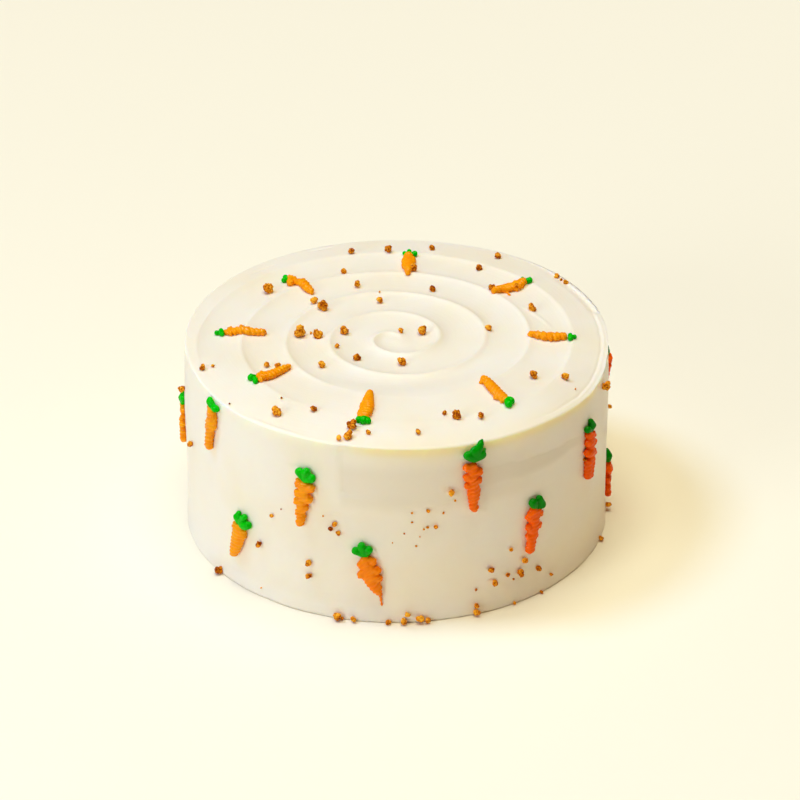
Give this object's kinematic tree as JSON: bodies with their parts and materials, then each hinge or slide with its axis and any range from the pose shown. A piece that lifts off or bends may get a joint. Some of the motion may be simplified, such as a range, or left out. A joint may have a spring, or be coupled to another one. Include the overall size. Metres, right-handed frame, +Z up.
{
  "type": "carrot cake",
  "caption": "Round uncut carrot cake under smooth cream cheese icing, with a spatula swirl on top and small piped carrots over its top and sides.",
  "frame": {"origin": "middle of the cake's flat base", "axes": "+Z up through the cake; -Y towards the front; +X to the right seen from the front"},
  "size_m": [0.2137, 0.2127, 0.1004],
  "materials": {
    "cream_icing": "smooth cream cheese icing, soft satin, with carrot cake under it",
    "orange_icing": "glossy orange piped icing",
    "green_icing": "glossy green piped icing"
  },
  "bodies": {
    "root": {"cake": "cream_icing", "top_carrot_1_root": "orange_icing", "top_carrot_1_tuft": "green_icing", "top_carrot_2_root": "orange_icing", "top_carrot_2_tuft": "green_icing", "top_carrot_3_root": "orange_icing", "top_carrot_3_tuft": "green_icing", "top_carrot_4_root": "orange_icing", "top_carrot_4_tuft": "green_icing", "top_carrot_5_root": "orange_icing", "top_carrot_5_tuft": "green_icing", "top_carrot_6_root": "orange_icing", "top_carrot_6_tuft": "green_icing", "top_carrot_7_root": "orange_icing", "top_carrot_7_tuft": "green_icing", "top_carrot_8_root": "orange_icing", "top_carrot_8_tuft": "green_icing", "side_carrot_01_root": "orange_icing", "side_carrot_01_tuft": "green_icing", "side_carrot_02_root": "orange_icing", "side_carrot_02_tuft": "green_icing", "side_carrot_03_root": "orange_icing", "side_carrot_03_tuft": "green_icing", "side_carrot_04_root": "orange_icing", "side_carrot_04_tuft": "green_icing", "side_carrot_05_root": "orange_icing", "side_carrot_05_tuft": "green_icing", "side_carrot_06_root": "orange_icing", "side_carrot_06_tuft": "green_icing", "side_carrot_07_root": "orange_icing", "side_carrot_07_tuft": "green_icing", "side_carrot_08_root": "orange_icing", "side_carrot_08_tuft": "green_icing", "side_carrot_09_root": "orange_icing", "side_carrot_09_tuft": "green_icing", "side_carrot_10_root": "orange_icing", "side_carrot_10_tuft": "green_icing", "side_carrot_11_root": "orange_icing", "side_carrot_11_tuft": "green_icing", "side_carrot_12_root": "orange_icing", "side_carrot_12_tuft": "green_icing", "side_carrot_13_root": "orange_icing", "side_carrot_13_tuft": "green_icing", "side_carrot_14_root": "orange_icing", "side_carrot_14_tuft": "green_icing", "side_carrot_15_root": "orange_icing", "side_carrot_15_tuft": "green_icing", "side_carrot_16_root": "orange_icing", "side_carrot_16_tuft": "green_icing", "side_carrot_17_root": "orange_icing", "side_carrot_17_tuft": "green_icing", "side_carrot_18_root": "orange_icing", "side_carrot_18_tuft": "green_icing", "side_carrot_19_root": "orange_icing", "side_carrot_19_tuft": "green_icing"}
  },
  "joints": []
}
